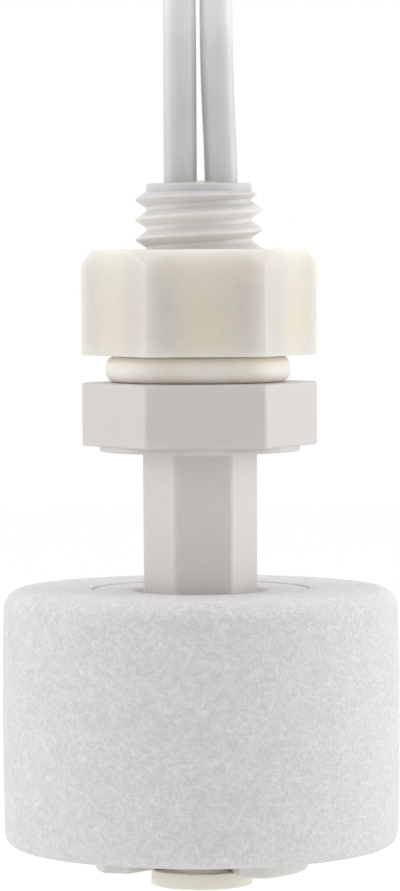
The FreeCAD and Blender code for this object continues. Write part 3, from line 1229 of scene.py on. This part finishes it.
@dataclass
class FloatDrum:
    """The foamed float: a slightly barrelled drum with a bore, a recess and the magnet's pocket."""

    end_r: float = 12.5 * MM
    belly: float = 0.08 * MM
    rounding: float = 1.25 * MM
    foot_rounding: float = 0.9 * MM
    recess_r: float = 6.88 * MM
    recess_round: float = 0.08 * MM
    bore_r: float = 4.003 * MM
    bore_edge: float = 0.12 * MM
    grain: float = 0.3 * MM
    relief: float = 0.035 * MM
    relief_from: float = 0.3 * MM
    steps: int = 320
    foot_steps: int = 24
    side_steps: int = 52
    rim_steps: int = 16
    edge_steps: int = 9

    def rings(self, low: float, high: float) -> list[Pair]:
        """Draws the float's outline from the bore's foot, out and up, to the pocket.

        Args:
            low: Height of the float's underside.
            high: Height of its top.

        Returns:
            Radius and height of each ring of corners.
        """
        pocket_floor = span("float_magnet")[0]
        inner, foot_inner = self.end_r - self.rounding, self.end_r - self.foot_rounding
        lead_in = self.bore_r + self.bore_edge
        start = low + self.foot_rounding
        rise = high - self.rounding - start
        lip = self.recess_r + self.recess_round
        rings = [(self.bore_r, low + self.bore_edge)]
        rings += [(lead_in + (foot_inner - lead_in) * k / self.foot_steps, low)
                  for k in range(self.foot_steps)]
        rings += arc((foot_inner, start), self.foot_rounding, -90, 0, self.edge_steps)
        for k in range(1, self.side_steps):
            share = k / self.side_steps
            bulge = self.belly * (1 - (2 * share - 1) ** 2)
            rings.append((self.end_r + bulge, start + rise * share))
        rings += arc((inner, high - self.rounding), self.rounding, 0, 90, self.edge_steps)
        rings += [(inner + (lip - inner) * k / self.rim_steps, high)
                  for k in range(1, self.rim_steps)]
        rings += arc((lip, high - self.recess_round), self.recess_round, 90, 180, 4)
        return rings + [(self.recess_r, pocket_floor), (self.bore_r, pocket_floor)]

    def roughen(self, drum: bpy.types.Object) -> None:
        """Gives the drum's outer skin a fine relief.

        Args:
            drum: The drum.
        """
        inside = self.recess_r + self.relief_from
        with Editing(drum) as edit:
            edit.pick(Element.VERTEX, lambda v: v.co.xy.length > inside)
            bpy.ops.object.vertex_group_assign_new()
        clouds = bpy.data.textures.new("felt_relief", "CLOUDS")
        clouds.noise_scale = self.grain
        modify(drum, "DISPLACE", texture=clouds, strength=self.relief, mid_level=0.5,
               vertex_group=drum.vertex_groups[0].name)

    def build(self, material: bpy.types.Material) -> None:
        """Turns the drum, roughens its skin and enters it.

        Args:
            material: The float's foam.
        """
        low, high = span("float")
        drum = turn("float_drum", self.rings(low, high), closed=True, steps=self.steps)
        self.roughen(drum)
        smooth(drum, 50)
        enter(drum, material, "float_assembly", "foam", "float")


@dataclass
class RetainingClip:
    """The C-shaped clip, pushed on the stem's neck from the side."""

    outer_r: float = 6.75 * MM
    hole_r: float = 2.52 * MM
    tip: float = 4.2 * MM
    mouth: float = 7.2 * MM
    throat: float = 4.4 * MM
    turned: float = 18.6
    edge: float = 0.12 * MM
    edge_from: float = 35
    back_steps: int = 72
    hole_steps: int = 48

    def outline(self) -> list[Pair]:
        """Draws the clip from the right arm's tip round the back and in again.

        Returns:
            The outline's corners (X, Y).
        """
        tip_angle = math.degrees(math.asin(self.tip / self.outer_r))
        throat_y = math.sqrt(self.hole_r ** 2 - (self.throat / 2) ** 2)
        throat_angle = math.degrees(math.atan2(throat_y, self.throat / 2))
        back = arc((0, 0), self.outer_r, -tip_angle, 180 + tip_angle, self.back_steps)
        inside = arc((0, 0), self.hole_r, 180 + throat_angle, -throat_angle, self.hole_steps)
        return back + [(-self.mouth / 2, -self.tip)] + inside + [(self.mouth / 2, -self.tip)]

    def build(self, material: bpy.types.Material) -> None:
        """Cuts the plate, rounds its rims, turns it and enters it.

        Args:
            material: The clip's plastic.
        """
        clip = plate("stem_clip", self.outline(), *span("retaining_clip"))
        modify(clip, "BEVEL", width=self.edge, segments=3, limit_method="ANGLE",
               angle_limit=math.radians(self.edge_from), use_clamp_overlap=True)
        clip.rotation_euler.z = math.radians(-self.turned)
        settle(clip)
        smooth(clip)
        enter(clip, material, "switch_body", "clip_plastic", "retaining_clip")


# --- What is inside -----------------------------------------------------------------------------


class ReedSwitch:
    """The reed capsule, its wiring and the resin, whose own solids are shown."""

    def build(self) -> None:
        """Dresses the solids."""
        alloy, tinned, solder = (metal.material() for metal in (REED_ALLOY, TINNED_COPPER, SOLDER))
        sleeve = MouldedPlastic("sleeve_plastic", skin=srgb(236, 234, 226),
                                core=srgb(228, 224, 214), core_radius=0.5 * MM,
                                skin_radius=1.5 * MM, roughness=0.3)
        dress("reed_glass", CapsuleGlass().material())
        dress("lead_sleeve", sleeve.material())
        dress("potting", CastResin().material())
        for side, blade in (("left", "upper"), ("right", "lower")):
            dress(f"reed_blade_{blade}", alloy)
            dress(f"conductor_{side}", tinned)
            dress(f"solder_joint_{side}", solder)


@dataclass
class FloatMagnet:
    """The float's ring magnet, shown by its own solid, and the ring that shuts it in."""

    lead_in: float = 0.4 * MM
    lead_in_bend: Pair = (0.6, 0.2)
    rim: float = 0.05 * MM
    steps: int = 144

    def cap(self, material: bpy.types.Material) -> None:
        """Turns the closing ring, with a lead-in round its bore and a softened rim.

        Args:
            material: The ring's foam.
        """
        (_, _, low), (edge, _, high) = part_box("magnet_cap")
        bore_r = FloatDrum.bore_r
        bend_out, bend_down = (share * self.lead_in for share in self.lead_in_bend)
        ring = turn("magnet_ring_cap", [
            (bore_r, low),
            (edge, low),
            (edge, high - self.rim),
            (edge - self.rim, high),
            (bore_r + self.lead_in, high),
            (bore_r + bend_out, high - bend_down),
            (bore_r, high - self.lead_in),
        ], closed=True, steps=self.steps)
        smooth(ring)
        enter(ring, material, "float_assembly", "cap_plastic", "magnet_cap")

    def build(self, material: bpy.types.Material) -> None:
        """Makes the ring and dresses the magnet."""
        self.cap(material)
        dress("float_magnet", Ferrite().material())


# --- The leads --------------------------------------------------------------------------------


VIEW_TURN = 3.35  # degrees by which the switch is seen from the left, and the stored leads swing


@dataclass(frozen=True)
class LeadRoute:
    """One lead's way from the potting, over the arch, to its stored turns (metres)."""

    name: str
    side: int
    points: tuple[Point, ...]


def behind(across: float, back: float, height: float) -> Point:
    """Finds a point in the leads' rear part.

    Args:
        across: How far to the right of their plane it lies, in millimetres.
        back: How far back along that plane, in millimetres.
        height: Its height, in millimetres.

    Returns:
        The point, in metres.
    """
    t = math.radians(VIEW_TURN)
    return ((across * math.cos(t) + back * math.sin(t)) * MM,
            (back * math.cos(t) - across * math.sin(t)) * MM, height * MM)


LEFT_ROUTE = LeadRoute("left", -1, (
    (-0.00117, 0.0, 0.0065),
    (-0.00117, 0.0, 0.0129),
    (-0.00118, -0.00012, 0.0194),
    behind(-1.2, 0.0, 25.6),
    behind(-1.2, 3.0, 30.8),
    behind(-1.2, 8.2, 33.8),
    behind(-1.2, 14.2, 33.9),
    behind(-1.24, 19.4, 31.0),
    behind(-1.27, 22.4, 25.8),
    behind(-1.27, 22.46, 20.1),
    behind(-1.26, 22.4, 14.3),
    behind(-1.24, 22.4, 8.6),
    behind(-1.2, 22.4, 2.9),
))
RIGHT_ROUTE = LeadRoute("right", 1, (
    (0.00146, 0.0, 0.0065),
    (0.00146, 0.0, 0.0129),
    (0.00116, -0.00008, 0.019),
    behind(1.12, 0.0, 25.2),
    behind(1.18, 3.1, 30.5),
    behind(1.2, 8.3, 33.3),
    behind(1.2, 14.2, 33.3),
    behind(1.2, 19.4, 30.6),
    behind(1.21, 22.4, 25.5),
    behind(1.25, 22.46, 20.0),
    behind(1.58, 22.4, 13.4),
    behind(1.5, 22.4, 8.1),
    behind(1.2, 22.4, 2.7),
))


@dataclass
class Leads:
    """The two leads, each one smooth cord from the potting to its stripped end, and their tie."""

    radius: float = 1.05 * MM
    near: float = 22.4 * MM
    middle_z: float = -10.8 * MM
    pitch: float = 2.15 * MM
    fold_radius: float = 10.6 * MM
    half_run: float = 8.0 * MM
    run_inset: float = 0.3
    across: float = 1.2 * MM
    turns: int = 3
    steps_per_fold: int = 7
    free_way: tuple[Pair, ...] = ((0.0, 3.8 * MM), (-0.7 * MM, 7.8 * MM), (-1.9 * MM, 11.6 * MM))
    length: float = 0.302
    strand_r: float = 0.38 * MM
    strands: int = 6
    strand_corners: int = 10
    grooves: tuple[tuple[tuple[int, ...], float], ...] = (
        ((0,), 0.78), ((1, 9), 0.88), ((2, 8), 0.96))
    tinned_length: float = 6.0 * MM
    tinned_steps: int = 30
    step_twist: float = 9
    tie_edge: float = 0.5 * MM
    tie_height: float = 3.0 * MM
    tie_rim: float = 0.06 * MM
    slack: float = 0.001 * MM

    def fold(self, middle: float, height: float, radius: float, start: float) -> list[Pair]:
        """Control points of a half turn.

        Args:
            middle: How far back the fold's middle lies.
            height: The fold's middle height.
            radius: Radius of the wire's centre line.
            start: Angle where the fold starts, in radians. It runs on anticlockwise, seen from +X.

        Returns:
            The points, back and up, on a ring round the fold, so that the curve keeps the radius.
        """
        step = math.pi / self.steps_per_fold
        reach = radius / math.cos(step / 2)
        angles = [start + step * (k + 0.5) for k in range(self.steps_per_fold)]
        return [(middle + reach * math.cos(a), height + reach * math.sin(a)) for a in angles]

    def stored_turns(self) -> list[Pair]:
        """Winds the hank from its first pass down to its last fold.

        Returns:
            Its control points, back and up.
        """
        middle = self.near + self.fold_radius
        low, high = self.middle_z - self.half_run, self.middle_z + self.half_run
        inset = self.run_inset * self.half_run
        points: list[Pair] = []
        for lap in range(self.turns):
            lower = self.fold_radius - lap * self.pitch
            upper = lower - self.pitch / 2
            points += [(middle - lower, high - inset), (middle - lower, low + inset)]
            points += self.fold(middle, low, lower, math.pi)
            if lap < self.turns - 1:
                points += [(middle + lower, low + inset), (middle + lower, high - inset)]
                points += self.fold(middle + self.pitch / 2, high, upper, 0.0)
        return points

    def free_end(self) -> list[Pair]:
        """Leads the last stretch up into the middle of the hank.

        Returns:
            Its control points, back and up.
        """
        tail = self.near + 2 * self.fold_radius - (self.turns - 1) * self.pitch
        foot = self.middle_z - self.half_run
        return [(tail + back, foot + up) for back, up in self.free_way]

    def swing(self, route: LeadRoute, points: Sequence[Pair]) -> list[Point]:
        """Puts points of the hank's plane behind the stem, on one lead's side.

        Args:
            route: The lead's way to its hank.
            points: The points, back and up.

        Returns:
            The points in the frame.
        """
        across = route.side * self.across / MM
        return [behind(across, back / MM, up / MM) for back, up in points]

    def lay(self, route: LeadRoute) -> bpy.types.Object:
        """Makes one lead as a NURBS cord.

        Args:
            route: The lead's way to its hank.

        Returns:
            The cord.
        """
        stored = self.swing(route, self.stored_turns() + self.free_end())
        points = list(route.points) + stored
        curve = bpy.data.curves.new(f"lead_{route.name}", "CURVE")
        curve.dimensions = "3D"
        spline = curve.splines.new("NURBS")
        spline.points.add(len(points) - 1)
        for control, point in zip(spline.points, points):
            control.co = (*point, 1.0)
        spline.order_u = 3
        spline.use_endpoint_u = True
        spline.resolution_u = 10
        curve.bevel_depth = self.radius
        curve.bevel_resolution = 8
        curve.use_fill_caps = True
        lead = bpy.data.objects.new(curve.name, curve)
        bpy.context.collection.objects.link(lead)
        return lead

    def tinned_end(self, route: LeadRoute, material: bpy.types.Material) -> bpy.types.Object:
        """Makes the stripped end: strands twisted into a grooved rod, flooded with tin.

        Args:
            route: The lead's way to its hank.
            material: The tinned copper.

        Returns:
            The end.
        """
        before, foot = (Vector(point) for point in self.swing(route, self.free_end()[-2:]))
        lead_on = (foot - before).normalized()
        deselect()
        bpy.ops.mesh.primitive_circle_add(vertices=self.strand_corners * self.strands,
                                          radius=self.strand_r, fill_type="NOTHING")
        end = claim(f"lead_end_{route.name}")
        with Editing(end) as edit:
            for corners, share in self.grooves:
                edit.pick(Element.VERTEX, lambda v: v.index % self.strand_corners in corners)
                edit.spread(share)
            edit.pick_all()
            for _ in range(self.tinned_steps):
                edit.extrude((0, 0, self.tinned_length / self.tinned_steps))
                bpy.ops.transform.rotate(value=math.radians(self.step_twist), orient_axis="Z",
                                         center_override=(0, 0, 0))
            edit.pick(Element.EDGE, lambda edge: edge.is_boundary)
            bpy.ops.mesh.edge_face_add()
            edit.outward()
        end.matrix_world = (Matrix.Translation(foot)
                            @ lead_on.to_track_quat("Z", "X").to_matrix().to_4x4())
        settle(end)
        smooth(end, 60)
        enter(end, material, "switch_body", "tinned_copper", f"tinned_end_{route.name}")
        return end

    def tie(self) -> bpy.types.Object:
        """Makes the band round both hanks: a rounded box, open through the middle.

        Returns:
            The band, swung behind the stem.
        """
        half_x = self.across + self.radius + self.tie_edge
        near = self.near - self.radius - self.tie_edge
        far = self.near + 2 * self.fold_radius + self.radius + self.tie_edge
        deselect()
        bpy.ops.mesh.primitive_cube_add(size=1, location=(0, (near + far) / 2, self.middle_z),
                                        scale=(2 * half_x, far - near, self.tie_height))
        band = claim("lead_tie")
        hole_x = half_x - self.tie_edge + self.slack
        hole_near, hole_far = near + self.tie_edge - self.slack, far - self.tie_edge + self.slack
        with Editing(band) as edit:
            edit.pick(Element.FACE, lambda face: abs(face.normal.z) > 0.5)
            bpy.ops.mesh.inset(thickness=self.tie_edge)
            edit.pick(Element.FACE, lambda face: abs(face.normal.z) > 0.5 and all(
                abs(v.co.x) < hole_x and hole_near < v.co.y < hole_far for v in face.verts))
            bpy.ops.mesh.bridge_edge_loops()
            edit.pick(Element.EDGE,
                      lambda edge: climb(edge) > MM and abs(edge.verts[0].co.x) > hole_x)
            bpy.ops.mesh.bevel(offset=0.9 * self.tie_edge, segments=5, affect="EDGES")
            edit.outward()
        modify(band, "BEVEL", width=self.tie_rim, segments=2, limit_method="ANGLE",
               angle_limit=math.radians(50))
        band.rotation_euler.z = -math.radians(VIEW_TURN)
        settle(band)
        smooth(band)
        enter(band, StripBand().material(), "switch_body", "tie_plastic", "hank_tie")
        return band

    def build(self) -> None:
        band = self.tie()
        insulation = WireInsulation().material()
        tinned = TINNED_COPPER.material()
        for route in (LEFT_ROUTE, RIGHT_ROUTE):
            lead = self.lay(route)
            enter(lead, insulation, "switch_body", "wire_insulation",
                  f"wire_{route.name}", f"wire_{route.name}_hank", f"wire_{route.name}_tail")
            self.tinned_end(route, tinned)


# --- Camera and light -------------------------------------------------------------------------


@dataclass
class Studio:
    """The camera, the lamps, the floor and the white surroundings."""

    distance: float = 280 * MM
    eye_height: float = 8.9 * MM
    aim_height: float = -4.04 * MM
    roll_degrees: float = -0.25
    lens: float = 178.7
    sensor: float = 36
    clip_start: float = 10 * MM
    floor_drop: float = 12 * MM
    floor_r: float = 0.6
    floor_paint: Colour = (0.9, 0.9, 0.9)
    floor_glow: float = 1.05
    floor_glow_share: float = 0.85
    ambient: float = 0.72
    left_power: float = 0.2
    right_power: float = 0.27
    top_power: float = 0.25
    lamp_reach: float = 0.26
    lamp_size: float = 0.2
    lamp_back: float = 20 * MM
    lamp_rise: float = 30 * MM
    lamp_aim: Point = (0.0, 0.0, -8 * MM)

    def place_camera(self) -> None:
        """Sets the camera a little above the flange, aimed at the middle of the switch."""
        azimuth = math.radians(VIEW_TURN)
        eye = Vector((-self.distance * math.sin(azimuth), -self.distance * math.cos(azimuth),
                      self.eye_height))
        aim = Vector((0, 0, self.aim_height))
        camera = bpy.data.objects.new("camera", bpy.data.cameras.new("camera"))
        camera.data.lens = self.lens
        camera.data.sensor_width = self.sensor
        camera.data.clip_start = self.clip_start
        look = (aim - eye).to_track_quat("-Z", "Y")
        camera.matrix_world = (Matrix.Translation(eye) @ look.to_matrix().to_4x4()
                               @ Matrix.Rotation(math.radians(self.roll_degrees), 4, "Z"))
        bpy.context.collection.objects.link(camera)
        bpy.context.scene.camera = camera

    def lamp(self, name: str, place: Point, power: float) -> None:
        """Hangs one soft square lamp that points at the switch.

        Args:
            name: The lamp's name.
            place: Where it hangs.
            power: Its power, in watts.
        """
        light = bpy.data.lights.new(name, "AREA")
        light.energy = power
        light.size = self.lamp_size
        lamp = bpy.data.objects.new(name, light)
        lamp.location = place
        way = Vector(self.lamp_aim) - Vector(place)
        lamp.rotation_euler = way.to_track_quat("-Z", "Y").to_euler()
        bpy.context.collection.objects.link(lamp)

    def surround(self) -> None:
        """Sets a world that looks white and lights the switch softly."""
        world = bpy.data.worlds.new("surroundings")
        graph = Graph(world)
        seen = graph.rays("Camera", "Glossy", "Transmission")
        soft, white = (graph.node("Background", inputs={"Color": (1, 1, 1, 1), "Strength": power})
                       for power in (self.ambient, 1.0))
        mix = graph.node("MixShader", inputs={0: seen, 1: soft.outputs[0], 2: white.outputs[0]})
        graph.node("OutputWorld", inputs={0: mix.outputs[0]})
        bpy.context.scene.world = world

    def floor(self) -> None:
        """Lays a pale floor below the switch, white to the eye, that keeps the shadow."""
        height = CAD_BOX[0][2] - self.floor_drop
        floor = turn("floor", [(self.floor_r, height - MM), (self.floor_r, height)])
        graph = new_graph("floor_paint")
        seen = graph.rays("Camera", "Glossy")
        paint = graph.node("BsdfPrincipled",
                           inputs={"Base Color": (*self.floor_paint, 1), "Roughness": 0.9})
        glow = graph.node("Emission", inputs={"Strength": self.floor_glow})
        mix = graph.node("MixShader", inputs={0: seen * self.floor_glow_share,
                                              1: paint.outputs[0], 2: glow.outputs[0]})
        graph.node("OutputMaterial", inputs={"Surface": mix.outputs[0]})
        floor.data.materials.append(graph.owner)

    def build(self) -> None:
        """Sets up everything round the switch."""
        bpy.context.scene.view_settings.view_transform = "Standard"
        self.place_camera()
        self.surround()
        self.floor()
        reach, back = self.lamp_reach, self.lamp_back
        self.lamp("left_lamp", (-reach, back, self.lamp_rise), self.left_power)
        self.lamp("right_lamp", (reach, back, self.lamp_rise), self.right_power)
        self.lamp("top_lamp", (0, self.lamp_rise, reach), self.top_power)


STEM_PLASTIC = MouldedPlastic(
    "stem_plastic", skin=srgb(209, 204, 201), core=srgb(206, 204, 204),
    core_radius=4.1 * MM, skin_radius=4.6 * MM,
    bands=((11.3 * MM, srgb(229, 227, 224)), (-2 * MM, srgb(217, 212, 208)),
           (-30.4 * MM, srgb(236, 231, 217))))
# Painted light and shade: the nut's warmer tint over the middles of the flats and low down stands
# in for the thread and its shade seen through the translucent wall.
NUT_PLASTIC = MouldedPlastic(
    "nut_plastic", skin=srgb(212, 208, 200), core=srgb(224, 218, 207),
    core_radius=6.35 * MM, skin_radius=7 * MM, bands=((5.5 * MM, srgb(227, 219, 200)),),
    fade=1.6 * MM, glow=1.0, glow_depth=4 * MM)
CLIP_PLASTIC = MouldedPlastic(
    "clip_plastic", skin=srgb(220, 218, 214), core=srgb(217, 214, 206),
    core_radius=3 * MM, skin_radius=6 * MM)
# Painted light: the float's foam made paler, standing in for light from above on the ring round the
# bore.
CAP_FOAM = FeltedFoam("cap_foam", pale=srgb(232, 231, 232), dark=srgb(216, 214, 216))


def main() -> None:
    """Builds and dresses the switch, piece by piece."""
    logging.basicConfig(level=logging.INFO, format="%(name)s: %(message)s")
    Studio().build()
    Leads().build()
    StemBody().build(STEM_PLASTIC.material())
    ClampNut().build(NUT_PLASTIC.material())
    SealingRing().build(Silicone().material())
    FloatDrum().build(FeltedFoam().material())
    RetainingClip().build(CLIP_PLASTIC.material())
    ReedSwitch().build()
    FloatMagnet().build(CAP_FOAM.material())


if __name__ == "__main__":
    main()
